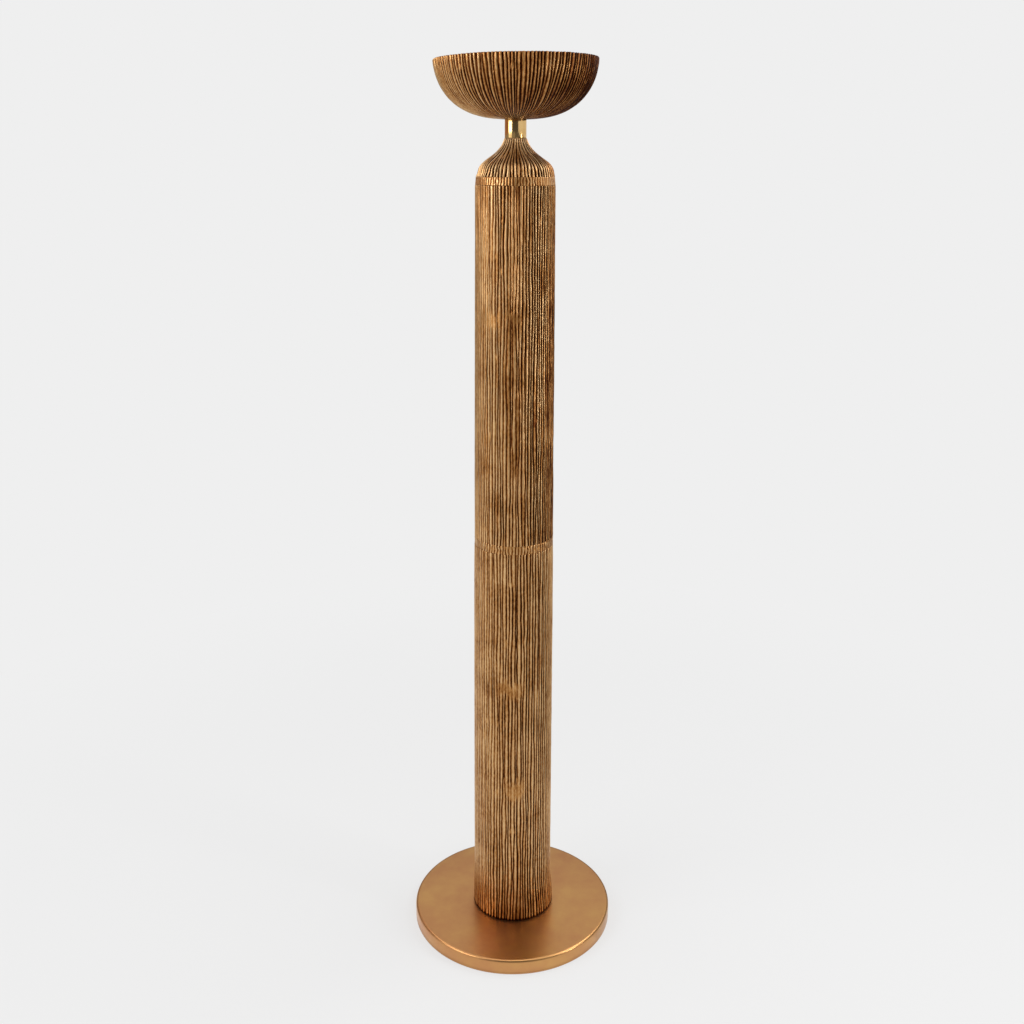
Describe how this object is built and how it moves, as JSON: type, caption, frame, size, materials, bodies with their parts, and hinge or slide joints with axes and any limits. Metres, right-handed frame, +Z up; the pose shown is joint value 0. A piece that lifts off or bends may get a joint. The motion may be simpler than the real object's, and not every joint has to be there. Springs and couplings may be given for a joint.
{
  "type": "torchiere floor lamp",
  "caption": "Uplighter floor lamp: round weighted base, tall ribbed brass column with a drawn-in shoulder, polished neck and an upturned ribbed bowl that holds a screw-in bulb.",
  "frame": {"origin": "on the floor, under the middle of the round base", "axes": "+Z up along the column and the tie pipe; -Y is the front as pictured, and the cable entry is at +Y"},
  "size_m": [0.418, 0.4203, 1.7522],
  "materials": {
    "ribbed_brass": "cast and hand-chased ribs, antique brown in the grooves, rubbed gold on the ridges",
    "satin_brass": "satin antique brass",
    "polished_brass": "polished",
    "plated_steel": "zinc plated",
    "cast_iron": "rough casting",
    "felt": "pressed felt",
    "black_rubber": "moulded",
    "porcelain": "glazed",
    "nickel_cap": "pressed cap, nickel plated",
    "frosted_glass": "frosted opal"
  },
  "bodies": {
    "lamp": {"floor_pad": "felt", "base_weight": "cast_iron", "base_cover": "satin_brass", "cord_bushing": "black_rubber", "base_washer": "plated_steel", "base_locknut": "plated_steel", "foot_flange": "plated_steel", "foot_screw_1": "plated_steel", "foot_screw_2": "plated_steel", "foot_screw_3": "plated_steel", "lower_column": "ribbed_brass", "joint_ring": "ribbed_brass", "upper_column": "ribbed_brass", "shoulder_ring": "ribbed_brass", "shoulder_cap": "ribbed_brass", "neck_tube": "polished_brass", "neck_bush_lower": "plated_steel", "neck_bush_upper": "plated_steel", "bowl": "ribbed_brass", "lamp_pipe": "plated_steel", "bowl_washer": "polished_brass", "bowl_locknut": "plated_steel", "lampholder_cap": "polished_brass", "lampholder_insulator": "porcelain", "lampholder_contact": "polished_brass", "lampholder_screw_shell": "polished_brass", "lampholder_body": "porcelain"},
    "bulb_lift": {"bulb_tip": "nickel_cap"},
    "bulb": {"bulb_cap": "nickel_cap", "bulb_globe": "frosted_glass"}
  },
  "joints": [
    {"name": "bulb_rise", "type": "slide", "parent": "lamp", "child": "bulb_lift", "axis": [0, 0, 1], "range_m": [0, 0.0182]},
    {"name": "bulb_turn", "type": "hinge", "parent": "bulb_lift", "child": "bulb", "pos_m": [0, 0, 1.7], "axis": [0, 0, 1], "range_deg": [0, 1800]}
  ],
  "couplings": [
    {"joint": "bulb_rise", "follows": "bulb_turn", "m_per_rad": 0.00057757}
  ]
}
